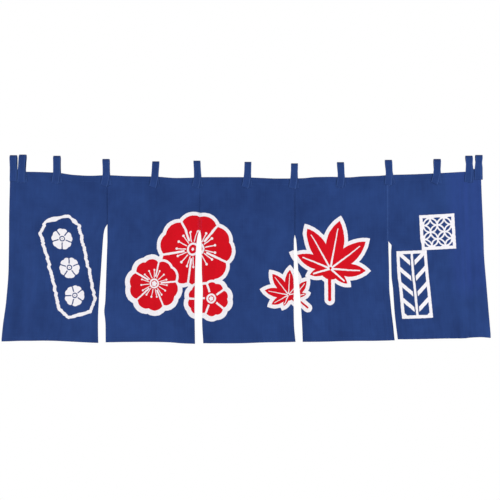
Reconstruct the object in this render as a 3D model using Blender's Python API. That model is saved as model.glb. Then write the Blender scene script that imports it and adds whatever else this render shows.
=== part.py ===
"""Noren: a split doorway curtain of five cloth panels, hung by thirteen loops of tape from a thin pole.

Metres, +Z up, with the front of the cloth facing -Y. The pole isn't modelled. The origin lies on its centre
line at the middle loop, and the heading hangs in a shallow arc that is lowest there.
"""

import math
from collections import namedtuple

import bmesh
import bpy
from mathutils import Vector

# Cloth and tape
CLOTH_THICKNESS = 0.0012
TAPE_THICKNESS = 0.0012
TAPE_WIDTH = 0.025
PIECE_GAP = 0.0003
CLOTH_COLOUR = (0.022, 0.053, 0.185, 1.0)
CLOTH_ROUGHNESS = 0.9

# Pole, and how the loops sit on it
POLE_RADIUS = 0.010
NECK_RISE = 0.003
SPLAY_POWER = 3.0

# The two leaves of a loop lie on the front of the cloth, one on the other, with the pole's axis between them
LEAF_Y = (TAPE_THICKNESS + PIECE_GAP) / 2
CLOTH_Y = LEAF_Y + TAPE_THICKNESS / 2 + PIECE_GAP + CLOTH_THICKNESS / 2
EYE_RADIUS = POLE_RADIUS + TAPE_THICKNESS / 2

# How finely the solids are divided
PANEL_COLUMNS = 16
PANEL_ROWS = 24
SLIT_ROWS = (0.0, 0.015, 0.040)
LEAST_ROW = 0.006
EYE_STEPS = 12
LEG_STEPS = 3
LAP_STEPS = 4

# Heights of the heading's top edge, which sags between the loops: (x, z)
HEADING = (
    (-0.850, -0.0150), (-0.825, -0.0160), (-0.792, -0.0245), (-0.760, -0.025), (-0.680, -0.028), (-0.620, -0.036),
    (-0.560, -0.039), (-0.503, -0.037), (-0.430, -0.040), (-0.325, -0.042), (-0.250, -0.047), (-0.200, -0.046),
    (-0.165, -0.044), (-0.020, -0.044), (0.060, -0.047), (0.115, -0.049), (0.200, -0.048), (0.250, -0.044),
    (0.310, -0.043), (0.365, -0.045), (0.420, -0.041), (0.480, -0.039), (0.515, -0.036), (0.590, -0.034),
    (0.690, -0.030), (0.780, -0.025), (0.790, -0.0245), (0.822, -0.0145), (0.850, -0.0130),
)

# The heading bows a little forward and back: its depth, and the lengths of its two waves
HEADING_BOW = 0.0025
BOW_WAVES = (0.43, 0.19)
BOW_DROP = 0.25

# The outer side edges: (distance down from the heading, x)
OUTER_LEFT = ((0.0, -0.849), (0.190, -0.853), (0.360, -0.854), (0.475, -0.8617), (0.560, -0.873), (0.610, -0.878))
OUTER_RIGHT = (
    (0.0, 0.8455), (0.130, 0.8505), (0.244, 0.855), (0.302, 0.8565), (0.417, 0.865), (0.532, 0.8743), (0.595, 0.8797),
)

# A slit hangs open below its apex. Each side is (distance below the apex, shift from the seam line)
Slit = namedtuple("Slit", "x apex left right")
SLITS = (
    Slit(
        x=-0.499, apex=0.174,
        left=((0.015, -0.0083), (0.037, -0.0137), (0.100, -0.019), (0.190, -0.025), (0.275, -0.031), (0.360, -0.034),
              (0.430, -0.033)),
        right=((0.060, 0.0), (0.100, -0.0015), (0.190, -0.005), (0.275, -0.008), (0.318, -0.012), (0.345, -0.009),
               (0.365, -0.0075), (0.430, -0.007)),
    ),
    Slit(
        x=-0.166, apex=0.188,
        left=((0.015, -0.006), (0.037, -0.0105), (0.080, -0.0145), (0.123, -0.0165), (0.210, -0.0185), (0.275, -0.0195),
              (0.410, -0.018)),
        right=((0.015, 0.0035), (0.059, 0.0065), (0.145, 0.007), (0.188, 0.0085), (0.217, 0.0105), (0.325, 0.008),
               (0.408, 0.012)),
    ),
    Slit(
        x=0.176, apex=0.199,
        left=((0.023, -0.0035), (0.153, -0.0035), (0.260, -0.004), (0.326, -0.003), (0.390, 0.0025)),
        right=((0.023, 0.005), (0.066, 0.0085), (0.153, 0.0135), (0.240, 0.021), (0.326, 0.0265), (0.390, 0.029)),
    ),
    Slit(
        x=0.513, apex=0.237,
        left=((0.106, 0.0027), (0.170, 0.004), (0.214, 0.008), (0.257, 0.0123), (0.300, 0.0177), (0.360, 0.0238)),
        right=((0.017, 0.0115), (0.041, 0.010), (0.127, 0.0115), (0.170, 0.0165), (0.257, 0.0225), (0.300, 0.027),
               (0.355, 0.034)),
    ),
)

# Each panel's bottom edge, as (share of its width, z), and how far its foot swings back from the heading
Foot = namedtuple("Foot", "hem swing")
FEET = (
    Foot(hem=((0.0, -0.635), (0.42, -0.6325), (0.71, -0.636), (1.0, -0.641)), swing=-0.006),
    Foot(hem=((0.0, -0.6395), (0.27, -0.6375), (0.70, -0.639), (0.88, -0.643), (1.0, -0.645)), swing=0.003),
    Foot(hem=((0.0, -0.6425), (0.40, -0.642), (0.72, -0.639), (1.0, -0.6375)), swing=-0.002),
    Foot(hem=((0.0, -0.638), (0.48, -0.635), (1.0, -0.6325)), swing=0.004),
    Foot(hem=((0.0, -0.628), (0.36, -0.626), (0.70, -0.624), (0.90, -0.620), (1.0, -0.6225)), swing=-0.005),
)

# Soft folds that run down a panel: where each crosses it, as a share of the width at the foot and its shift to
# the side at the heading, its half width, its depth with front negative, and the share of the drop where it begins
Fold = namedtuple("Fold", "panel across shift half_width depth begins")
FOLDS = (
    Fold(0, 0.02, 0.00, 0.050, -0.005, 0.35),
    Fold(0, 0.17, 0.03, 0.035, 0.004, 0.30),
    Fold(0, 0.32, -0.09, 0.045, -0.004, 0.15),
    Fold(0, 0.62, 0.04, 0.070, 0.005, 0.40),
    Fold(0, 1.00, 0.00, 0.030, 0.005, 0.35),
    Fold(1, 0.00, 0.00, 0.030, 0.004, 0.35),
    Fold(1, 0.25, 0.04, 0.060, -0.005, 0.40),
    Fold(1, 0.55, 0.00, 0.070, 0.005, 0.45),
    Fold(1, 0.80, -0.03, 0.050, -0.004, 0.50),
    Fold(1, 1.00, 0.00, 0.030, 0.005, 0.40),
    Fold(2, 0.00, 0.00, 0.035, 0.005, 0.40),
    Fold(2, 0.30, 0.02, 0.070, -0.004, 0.50),
    Fold(2, 0.62, -0.03, 0.080, 0.004, 0.50),
    Fold(2, 1.00, 0.00, 0.030, 0.004, 0.40),
    Fold(3, 0.00, 0.00, 0.030, 0.004, 0.40),
    Fold(3, 0.22, 0.03, 0.060, -0.005, 0.45),
    Fold(3, 0.50, 0.00, 0.070, 0.005, 0.50),
    Fold(3, 0.78, -0.04, 0.050, -0.005, 0.45),
    Fold(3, 1.00, 0.00, 0.035, 0.006, 0.45),
    Fold(4, 0.00, 0.00, 0.030, 0.005, 0.45),
    Fold(4, 0.22, 0.050, 0.070, -0.003, 0.30),
    Fold(4, 0.50, 0.060, 0.050, 0.004, 0.20),
    Fold(4, 0.70, 0.105, 0.028, -0.005, 0.05),
    Fold(4, 0.79, 0.120, 0.025, 0.005, 0.30),
    Fold(4, 0.97, 0.000, 0.026, -0.004, 0.12),
)
FOLD_GROWTH = 0.35
HELD_WIDTH = 0.060
FREE_DROP = 0.120

# The loops, left to right: the tape's middle on the pole, its top, its middle at the heading, how far the front
# leaf has drawn left of that and the rear leaf right, how much further their ends are splayed, and how far down
# the cloth they are sewn
Loop = namedtuple("Loop", "x top neck spread front_end rear_end lap")
LOOPS = (
    Loop(-0.8368, 0.0353, -0.8363, 0.0013, -0.0010, 0.0005, 0.044),
    Loop(-0.8029, 0.0374, -0.8070, 0.0020, -0.0005, 0.0050, 0.043),
    Loop(-0.6804, 0.0331, -0.6803, 0.0010, -0.0070, 0.0060, 0.038),
    Loop(-0.5036, 0.0216, -0.5022, 0.0000, -0.0105, 0.0065, 0.038),
    Loop(-0.3242, 0.0130, -0.3277, 0.0000, -0.0095, 0.0045, 0.038),
    Loop(-0.1766, 0.0155, -0.1735, 0.0000, -0.0095, 0.0065, 0.037),
    Loop(0.0074, 0.0112, 0.0058, 0.0000, -0.0100, 0.0055, 0.037),
    Loop(0.1748, 0.0058, 0.1737, 0.0004, -0.0070, 0.0045, 0.036),
    Loop(0.3400, 0.0101, 0.3431, 0.0000, -0.0065, 0.0045, 0.037),
    Loop(0.5126, 0.0184, 0.5162, 0.0000, -0.0050, 0.0110, 0.036),
    Loop(0.6880, 0.0216, 0.6883, 0.0003, -0.0107, 0.0035, 0.037),
    Loop(0.8025, 0.0335, 0.8051, 0.0018, -0.0040, 0.0003, 0.043),
    Loop(0.8384, 0.0360, 0.8378, 0.0020, -0.0002, 0.0005, 0.040),
)


def ease(share):
    """A share from 0 to 1, eased in and out."""
    share = min(1.0, max(0.0, share))
    return share * share * (3 - 2 * share)


def through(rows, place):
    """The value at a place on a smooth line through rows of (place, value) that doesn't overshoot them."""
    if place <= rows[0][0]:
        return rows[0][1]
    if place >= rows[-1][0]:
        return rows[-1][1]
    slopes = [(b[1] - a[1]) / (b[0] - a[0]) for a, b in zip(rows, rows[1:])]
    bends = [slopes[0]]
    for before, after in zip(slopes, slopes[1:]):
        bends.append(2 * before * after / (before + after) if before * after > 0 else 0.0)
    bends.append(slopes[-1])
    i = max(k for k, row in enumerate(rows) if row[0] <= place)
    span = rows[i + 1][0] - rows[i][0]
    t = (place - rows[i][0]) / span
    from_left = (1 + 2 * t) * (1 - t) ** 2 * rows[i][1] + t * (1 - t) ** 2 * span * bends[i]
    from_right = t * t * (3 - 2 * t) * rows[i + 1][1] - t * t * (1 - t) * span * bends[i + 1]
    return from_left + from_right


def bow(x, down):
    """How far back the heading bows at x, fading out down the cloth."""
    long_wave, short_wave = (math.sin(2 * math.pi * x / wave) for wave in BOW_WAVES)
    return HEADING_BOW * (0.65 * long_wave + 0.35 * short_wave) * (1 - ease(down / BOW_DROP))


class Panel:
    """One width of cloth: its side edges, its foot, and the slits beside it."""

    def __init__(self, number):
        self.number = number
        self.foot = FEET[number]
        self.slits = (
            SLITS[number - 1] if number else None,
            SLITS[number] if number < len(SLITS) else None,
        )
        self.left = self.side_edge(0, OUTER_LEFT)
        self.right = self.side_edge(1, OUTER_RIGHT)

    def side_edge(self, side, outer):
        """Rows of (distance down, x) along one side edge, half a gap clear of the seam line."""
        slit = self.slits[side]
        if slit is None:
            return outer
        x = slit.x + (PIECE_GAP / 2 if side == 0 else -PIECE_GAP / 2)
        opening = slit.right if side == 0 else slit.left
        return ((0.0, x), (slit.apex, x)) + tuple((slit.apex + down, x + shift) for down, shift in opening)

    def heading_at(self, across):
        """Height of the top edge at a share of the width."""
        return through(HEADING, self.left[0][1] * (1 - across) + self.right[0][1] * across)

    def drop(self, across):
        """Length from the heading to the hem at a share of the width."""
        return self.heading_at(across) - through(self.foot.hem, across)

    def sway(self, across, down, share):
        """How far back the folds and the swing carry the cloth, held still where it is sewn to its neighbour."""
        width = self.right[0][1] - self.left[0][1]
        back = self.foot.swing * ease((share - FOLD_GROWTH) / (1 - FOLD_GROWTH))
        for fold in FOLDS:
            if fold.panel != self.number:
                continue
            aside = (across - fold.across - fold.shift * (1 - share)) * width / fold.half_width
            if abs(aside) < 1:
                grown = ease((share - fold.begins) / FOLD_GROWTH)
                back += fold.depth * grown * (1 + math.cos(math.pi * aside)) / 2
        for slit, from_edge in zip(self.slits, (across, 1 - across)):
            if slit is not None:
                free = ease((down - slit.apex) / FREE_DROP)
                back *= free + (1 - free) * ease(from_edge * width / HELD_WIDTH)
        return back

    def point(self, across, share):
        """The middle of the cloth's thickness at a share of the width and of the drop."""
        left_x = through(self.left, share * self.drop(0.0))
        right_x = through(self.right, share * self.drop(1.0))
        x = left_x * (1 - across) + right_x * across
        down = share * self.drop(across)
        return Vector((x, CLOTH_Y + bow(x, down) + self.sway(across, down, share), self.heading_at(across) - down))

    def row_shares(self):
        """Shares of the drop that get a row: even ones, the nearest of them drawn to where a slit opens."""
        drop = self.drop(0.5)
        shares = [row / PANEL_ROWS for row in range(PANEL_ROWS + 1)]
        drawn = []
        for slit in filter(None, self.slits):
            for below in SLIT_ROWS:
                wanted = (slit.apex + below) / drop
                if all(abs(wanted - other) > LEAST_ROW / drop for other in drawn):
                    free = [share for share in shares if share not in drawn]
                    shares.remove(min(free, key=lambda share: abs(share - wanted)))
                    shares.append(wanted)
                    drawn.append(wanted)
        return sorted(shares)


def panel_mesh(panel):
    """The panel's sheet, laid out as a grid and moved to where the cloth hangs."""
    shares = panel.row_shares()
    last_row = len(shares) - 1
    sheet = bmesh.new()
    bmesh.ops.create_grid(sheet, x_segments=PANEL_COLUMNS, y_segments=last_row, size=0.5)
    for vert in sheet.verts:
        across = vert.co.x + 0.5
        row = round((0.5 - vert.co.y) * last_row)
        vert.co = panel.point(across, shares[row])
    return sheet


def loop_stations(loop):
    """Pairs of points across the tape, from the front leaf's end, up over the pole, and down to the rear's end."""
    eye_z = loop.top - EYE_RADIUS - TAPE_THICKNESS / 2
    heading_z = through(HEADING, loop.neck)
    neck_z = heading_z + NECK_RISE
    lean = math.asin((EYE_RADIUS - LEAF_Y) / (eye_z - neck_z))
    leaf_length = eye_z - heading_z + loop.lap

    def station(y, z, side, end_shift):
        """The tape at a height on one leaf, whose lower part is splayed to the side; side is -1 in front."""
        share = max(0.0, (eye_z - z) / leaf_length)
        rise = min(1.0, max(0.0, (z - neck_z) / (loop.top - neck_z)))
        middle = loop.neck + (loop.x - loop.neck) * rise + side * loop.spread * (1 - rise)
        middle += end_shift * share**SPLAY_POWER
        slope = end_shift * SPLAY_POWER * share ** (SPLAY_POWER - 1) / leaf_length
        across = Vector((1.0, 0.0, slope)).normalized()
        pair = [Vector((middle, y, z)) + across * side * TAPE_WIDTH / 2 for side in (-1, 1)]
        for corner in pair:
            corner.y += bow(corner.x, heading_z - corner.z) * (1 - rise)
        return pair

    def leaf(side, end_shift):
        """One leaf from its sewn end up to where it meets the pole; side is -1 in front and 1 behind."""
        tangent = Vector((side * EYE_RADIUS * math.cos(lean), eye_z - EYE_RADIUS * math.sin(lean)))
        lap_end = Vector((side * LEAF_Y, heading_z - loop.lap))
        neck = Vector((side * LEAF_Y, neck_z))
        lap = [lap_end.lerp(neck, step / LAP_STEPS) for step in range(LAP_STEPS)]
        leg = [neck.lerp(tangent, step / LEG_STEPS) for step in range(LEG_STEPS)]
        return [station(place.x, place.y, side, end_shift) for place in lap + leg]

    arc = math.pi + 2 * lean
    turns = [math.pi + lean - arc * step / EYE_STEPS for step in range(EYE_STEPS + 1)]
    over = [
        station(EYE_RADIUS * math.cos(turn), eye_z + EYE_RADIUS * math.sin(turn), math.cos(turn) / math.cos(lean), 0.0)
        for turn in turns
    ]
    return leaf(-1, loop.front_end) + over + leaf(1, loop.rear_end)[::-1]


def loop_mesh(loop):
    """The loop's tape, grown from one sewn end to the other by extruding the edge across it."""
    stations = loop_stations(loop)
    tape = bmesh.new()
    edge = tape.edges.new([tape.verts.new(corner) for corner in stations[0]])
    for before, after in zip(stations, stations[1:]):
        grown = bmesh.ops.extrude_edge_only(tape, edges=[edge])["geom"]
        edge = next(item for item in grown if isinstance(item, bmesh.types.BMEdge))
        for vert in edge.verts:
            side = 0 if (vert.co - before[0]).length < (vert.co - before[1]).length else 1
            vert.co = after[side]
    return tape


def cloth_material(name):
    """Matt dyed cotton."""
    material = bpy.data.materials.new(name)
    material.use_nodes = True
    surface = material.node_tree.nodes["Principled BSDF"]
    surface.inputs["Base Color"].default_value = CLOTH_COLOUR
    surface.inputs["Roughness"].default_value = CLOTH_ROUGHNESS
    surface.inputs["Metallic"].default_value = 0.0
    return material


def add_sheet(name, shape, origin, thickness, pole_line):
    """Makes an object of a sheet, with its origin where the piece is sewn, and gives the sheet its thickness."""
    bmesh.ops.translate(shape, verts=shape.verts, vec=-origin)
    mesh = bpy.data.meshes.new(name)
    shape.to_mesh(mesh)
    shape.free()
    mesh.shade_smooth()
    mesh.materials.append(cloth_material(name))
    piece = bpy.data.objects.new(name, mesh)
    bpy.context.scene.collection.objects.link(piece)
    piece.parent = pole_line
    piece.location = origin
    solid = piece.modifiers.new("thickness", "SOLIDIFY")
    solid.thickness = thickness
    solid.offset = 0.0
    solid.use_even_offset = True
    return piece


def build():
    """Clears the scene and hangs the curtain from its pole line."""
    for old in list(bpy.data.objects):
        bpy.data.objects.remove(old)
    pole_line = bpy.data.objects.new("pole_line", None)
    bpy.context.scene.collection.objects.link(pole_line)
    for number in range(len(FEET)):
        panel = Panel(number)
        add_sheet(f"panel_{number + 1}", panel_mesh(panel), panel.point(0.5, 0.0), CLOTH_THICKNESS, pole_line)
    for number, loop in enumerate(LOOPS, start=1):
        origin = Vector((loop.neck, 0.0, through(HEADING, loop.neck)))
        add_sheet(f"loop_{number:02d}", loop_mesh(loop), origin, TAPE_THICKNESS, pole_line)


build()
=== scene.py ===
"""Noren: a doorway curtain of five dyed cloth panels on thirteen loops, dressed on its CAD frame."""

import bisect
import math
from collections import namedtuple

import bmesh
import bpy
from mathutils import Matrix, Vector, noise


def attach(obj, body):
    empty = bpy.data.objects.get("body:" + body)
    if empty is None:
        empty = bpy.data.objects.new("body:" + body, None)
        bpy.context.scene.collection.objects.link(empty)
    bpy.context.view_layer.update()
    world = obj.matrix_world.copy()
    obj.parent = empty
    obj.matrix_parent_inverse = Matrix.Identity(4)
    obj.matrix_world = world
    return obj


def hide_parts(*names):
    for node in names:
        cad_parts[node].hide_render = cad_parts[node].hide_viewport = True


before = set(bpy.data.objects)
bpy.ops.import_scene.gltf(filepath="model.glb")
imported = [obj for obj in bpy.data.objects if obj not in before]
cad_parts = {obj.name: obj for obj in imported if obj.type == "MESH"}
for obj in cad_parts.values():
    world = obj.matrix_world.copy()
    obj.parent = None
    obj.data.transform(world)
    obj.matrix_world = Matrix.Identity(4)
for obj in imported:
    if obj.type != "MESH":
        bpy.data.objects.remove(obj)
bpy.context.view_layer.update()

# The way the curtain hangs. A thin pole runs through the loops and sags a little, so the heading does too,
# and the cloth fans out towards its foot. Metres, +Z up, front to -Y, origin on the pole at the middle loop.
CLOTH_Y = 0.00225

# The heading bows a little forward and back: its depth, its two waves and their shares, and its reach down
HEADING_BOW = 0.0025
BOW_WAVES = (0.43, 0.19)
BOW_SHARES = (0.65, 0.35)
BOW_DROP = 0.25


def ease(share):
    """A share from 0 to 1, eased in and out."""
    share = min(1.0, max(0.0, share))
    return share * share * (3 - 2 * share)


class Line:
    """A smooth line through rows of (place, value) that doesn't overshoot them."""

    def __init__(self, rows):
        self.places = [row[0] for row in rows]
        self.values = [row[1] for row in rows]
        slopes = [(b[1] - a[1]) / (b[0] - a[0]) for a, b in zip(rows, rows[1:])]
        self.bends = [slopes[0]]
        for before, after in zip(slopes, slopes[1:]):
            self.bends.append(2 * before * after / (before + after) if before * after > 0 else 0.0)
        self.bends.append(slopes[-1])

    def __call__(self, place):
        if place <= self.places[0]:
            return self.values[0]
        if place >= self.places[-1]:
            return self.values[-1]
        i = bisect.bisect_right(self.places, place) - 1
        span = self.places[i + 1] - self.places[i]
        t = (place - self.places[i]) / span
        from_left = (1 + 2 * t) * (1 - t) ** 2 * self.values[i] + t * (1 - t) ** 2 * span * self.bends[i]
        from_right = t * t * (3 - 2 * t) * self.values[i + 1] - t * t * (1 - t) * span * self.bends[i + 1]
        return from_left + from_right


# Heights of the heading's top edge, which sags between the loops: (x, z)
heading = Line((
    (-0.850, -0.0150), (-0.825, -0.0160), (-0.792, -0.0245), (-0.760, -0.025), (-0.680, -0.028),
    (-0.620, -0.036), (-0.560, -0.039), (-0.503, -0.037), (-0.430, -0.040), (-0.325, -0.042),
    (-0.250, -0.047), (-0.200, -0.046), (-0.165, -0.044), (-0.020, -0.044), (0.060, -0.047),
    (0.115, -0.049), (0.200, -0.048), (0.250, -0.044), (0.310, -0.043), (0.365, -0.045),
    (0.420, -0.041), (0.480, -0.039), (0.515, -0.036), (0.590, -0.034), (0.690, -0.030),
    (0.780, -0.025), (0.790, -0.0245), (0.822, -0.0145), (0.850, -0.0130),
))


def bow(x, down):
    """How far back the heading bows at x, fading out down the cloth."""
    waves = sum(share * math.sin(2 * math.pi * x / wave) for share, wave in zip(BOW_SHARES, BOW_WAVES))
    return HEADING_BOW * waves * (1 - ease(down / BOW_DROP))


# The five panels are widths of plain cotton, dyed blue right through. Each is hemmed to the back on all four
# edges, and neighbours are sewn edge to edge from the heading down to where their slit begins.
CLOTH_WIDTH = 0.340
CLOTH_THICKNESS = 0.0005
TURN_RADIUS = 0.00035
FRONT_Y = CLOTH_Y - TURN_RADIUS
SIDE_HEM = 0.008
TOP_HEM = 0.024
FOOT_HEM = 0.015
CORNER_WIDTH = 0.010

# The grid of the flat cloth: its cell, the band beside an edge where its lines crowd, and its steps over a
# hem and over the turn before it, which begins this far inside a side edge and inside the top and the foot
CELL = 0.0045
EDGE_BAND = 0.009
EDGE_STEPS = 7
EDGE_CROWDING = 1.6
HEM_STEPS = 3
TURN_STEPS = 6
TURN_REACH = 2.2
SIDE_TURN = 0.0004
END_TURN = 0.0011

# The outer side edges: (distance down from the heading, x)
OUTER_LEFT = (
    (0.0, -0.849), (0.190, -0.853), (0.360, -0.854), (0.475, -0.8617), (0.560, -0.873), (0.610, -0.878),
)
OUTER_RIGHT = (
    (0.0, 0.8455), (0.130, 0.8505), (0.244, 0.855), (0.302, 0.8565), (0.417, 0.865), (0.532, 0.8743),
    (0.595, 0.8797),
)

# A slit hangs open below its apex. Each side is (distance below the apex, shift from the seam line)
Slit = namedtuple("Slit", "x apex left right")
SLITS = (
    Slit(
        x=-0.499, apex=0.174,
        left=((0.015, -0.0083), (0.037, -0.0137), (0.100, -0.019), (0.190, -0.025), (0.275, -0.031),
              (0.360, -0.034), (0.430, -0.033)),
        right=((0.060, 0.0), (0.100, -0.0015), (0.190, -0.005), (0.275, -0.008), (0.318, -0.012),
               (0.345, -0.009), (0.365, -0.0075), (0.430, -0.007)),
    ),
    Slit(
        x=-0.166, apex=0.188,
        left=((0.015, -0.006), (0.037, -0.0105), (0.080, -0.0145), (0.123, -0.0165), (0.210, -0.0185),
              (0.275, -0.0195), (0.410, -0.018)),
        right=((0.015, 0.0035), (0.059, 0.0065), (0.145, 0.007), (0.188, 0.0085), (0.217, 0.0105),
               (0.325, 0.008), (0.408, 0.012)),
    ),
    Slit(
        x=0.176, apex=0.199,
        left=((0.023, -0.0035), (0.153, -0.0035), (0.260, -0.004), (0.326, -0.003), (0.390, 0.0025)),
        right=((0.023, 0.005), (0.066, 0.0085), (0.153, 0.0135), (0.240, 0.021),
               (0.326, 0.0265), (0.390, 0.029)),
    ),
    Slit(
        x=0.513, apex=0.237,
        left=((0.106, 0.0027), (0.170, 0.004), (0.214, 0.008), (0.257, 0.0123),
              (0.300, 0.0177), (0.360, 0.0238)),
        right=((0.017, 0.0115), (0.041, 0.010), (0.127, 0.0115), (0.170, 0.0165), (0.257, 0.0225),
               (0.300, 0.027), (0.355, 0.034)),
    ),
)

# Each panel's bottom edge, as (share of its width, z), and how far its foot swings back from the heading
Foot = namedtuple("Foot", "hem swing")
FEET = (
    Foot(hem=((0.0, -0.635), (0.42, -0.6325), (0.71, -0.636), (1.0, -0.641)), swing=-0.006),
    Foot(hem=((0.0, -0.6395), (0.27, -0.6375), (0.70, -0.639), (0.88, -0.643), (1.0, -0.645)), swing=0.003),
    Foot(hem=((0.0, -0.6425), (0.40, -0.642), (0.72, -0.639), (1.0, -0.6375)), swing=-0.002),
    Foot(hem=((0.0, -0.638), (0.48, -0.635), (1.0, -0.6325)), swing=0.004),
    Foot(hem=((0.0, -0.628), (0.36, -0.626), (0.70, -0.624), (0.90, -0.620), (1.0, -0.6225)), swing=-0.005),
)

# Soft folds that run down a panel: where each crosses it, as a share of the width at the foot and its shift
# to the side at the heading, its half width, its depth with front negative, and where it begins, as a share
# of the drop
Fold = namedtuple("Fold", "panel across shift half_width depth begins")
FOLDS = (
    Fold(0, 0.02, 0.00, 0.050, -0.005, 0.35),
    Fold(0, 0.17, 0.03, 0.035, 0.004, 0.30),
    Fold(0, 0.32, -0.09, 0.045, -0.004, 0.15),
    Fold(0, 0.62, 0.04, 0.070, 0.005, 0.40),
    Fold(0, 1.00, 0.00, 0.030, 0.005, 0.35),
    Fold(1, 0.00, 0.00, 0.030, 0.004, 0.35),
    Fold(1, 0.25, 0.04, 0.060, -0.005, 0.40),
    Fold(1, 0.55, 0.00, 0.070, 0.005, 0.45),
    Fold(1, 0.80, -0.03, 0.050, -0.004, 0.50),
    Fold(1, 1.00, 0.00, 0.030, 0.005, 0.40),
    Fold(2, 0.00, 0.00, 0.035, 0.005, 0.40),
    Fold(2, 0.30, 0.02, 0.070, -0.004, 0.50),
    Fold(2, 0.62, -0.03, 0.080, 0.004, 0.50),
    Fold(2, 1.00, 0.00, 0.030, 0.004, 0.40),
    Fold(3, 0.00, 0.00, 0.030, 0.004, 0.40),
    Fold(3, 0.22, 0.03, 0.060, -0.005, 0.45),
    Fold(3, 0.50, 0.00, 0.070, 0.005, 0.50),
    Fold(3, 0.78, -0.04, 0.050, -0.005, 0.45),
    Fold(3, 1.00, 0.00, 0.035, 0.006, 0.45),
    Fold(4, 0.00, 0.00, 0.030, 0.005, 0.45),
    Fold(4, 0.22, 0.050, 0.070, -0.003, 0.30),
    Fold(4, 0.50, 0.060, 0.050, 0.004, 0.20),
    Fold(4, 0.70, 0.105, 0.028, -0.005, 0.05),
    Fold(4, 0.79, 0.120, 0.025, 0.005, 0.30),
    Fold(4, 0.97, 0.000, 0.026, -0.004, 0.12),
)

# A fold grows over a share of the drop. A seam holds the cloth beside it over a width, and below its end the
# cloth comes free over a distance. The tug of a slit's top fades across the panel with a power.
FOLD_GROWTH = 0.35
HELD_WIDTH = 0.060
FREE_DROP = 0.120
TUG_FADE = 3

# Fine creases left by how the curtain was folded away: the panel, where each crosses it at the heading and
# at the foot, where it begins and ends down it, its depth with front negative, and its half width
Crease = namedtuple("Crease", "panel top foot begins ends depth half_width")
CREASES = (
    Crease(4, 0.817, 0.765, 0.08, 1.00, -0.0016, 0.0065),
    Crease(4, 0.955, 0.900, 0.00, 0.70, 0.0007, 0.010),
    Crease(0, 0.060, 0.100, 0.10, 0.80, 0.0005, 0.010),
)
CREASE_FADE = 0.10

# Small puckers that sewing draws into the cloth: the edge, from where to where on it, depth and length
Pucker = namedtuple("Pucker", "panel edge start end depth wave")
PUCKERS = (
    Pucker(0, "foot", 0.100, 0.300, 0.0009, 0.021),
    Pucker(0, "right", 0.020, 0.200, 0.0004, 0.013),
    Pucker(1, "left", 0.020, 0.200, 0.0004, 0.013),
    Pucker(1, "right", 0.020, 0.215, 0.0004, 0.015),
    Pucker(2, "left", 0.020, 0.215, 0.0004, 0.015),
    Pucker(2, "right", 0.020, 0.225, 0.0005, 0.014),
    Pucker(3, "left", 0.020, 0.225, 0.0005, 0.014),
    Pucker(3, "right", 0.040, 0.255, 0.0010, 0.019),
    Pucker(4, "left", 0.040, 0.255, 0.0010, 0.019),
    Pucker(4, "foot", 0.012, 0.285, 0.0016, 0.021),
)
PUCKER_REACH = {"left": 0.014, "right": 0.014, "foot": 0.040}
PUCKER_FADE = 0.03
PUCKER_WANDER = 0.9

# The finer puckers along every hem: depth, length, and how far in they reach
HEM_PUCKER = 0.00025
HEM_PUCKER_WAVE = 0.017
HEM_PUCKER_REACH = 0.010

# How far each seam sinks in, the fourth standing a little proud, how near the seam, and how softly it ends
SEAM_SINKS = (0.0030, 0.0030, 0.0030, -0.0012)
SEAM_SINK_REACH = 0.0020
SEAM_SINK_END = 0.02

# Faint wrinkles all over, as (size, depth), which end where the loops are sewn on
WRINKLES = ((0.110, 0.0009), (0.042, 0.00035), (0.017, 0.00008))
CLEAR_OF_LOOPS = 0.040


def turned(place, length, radius):
    """Where a point of flat cloth lies once its edges are folded back: its place, depth and facing."""
    far = place > length / 2
    inside = length - place if far else place
    angle = (radius - inside) / radius
    if angle <= 0:
        return place, 0.0, 1.0
    if angle < math.pi:
        depth, facing = radius * (1 - math.cos(angle)), math.cos(angle)
        inside = radius * (1 - math.sin(angle))
    else:
        depth, facing = 2 * radius, -1.0
        inside = radius * (1 - math.pi + angle)
    return (length - inside if far else inside), depth, facing


def wave_at(x, z, size):
    """Smooth unevenness of about this size over the cloth, from -1 to 1."""
    return noise.noise(Vector((x / size, z / size, size * 100)))


def calm(edge, slit):
    """The line that a side edge would follow if no slit tugged at it, as the cloth further in does."""
    if slit is None:
        return edge
    return Line(((0.0, slit.x), (slit.apex / 2, slit.x), (edge.places[-1], edge.values[-1])))


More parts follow.
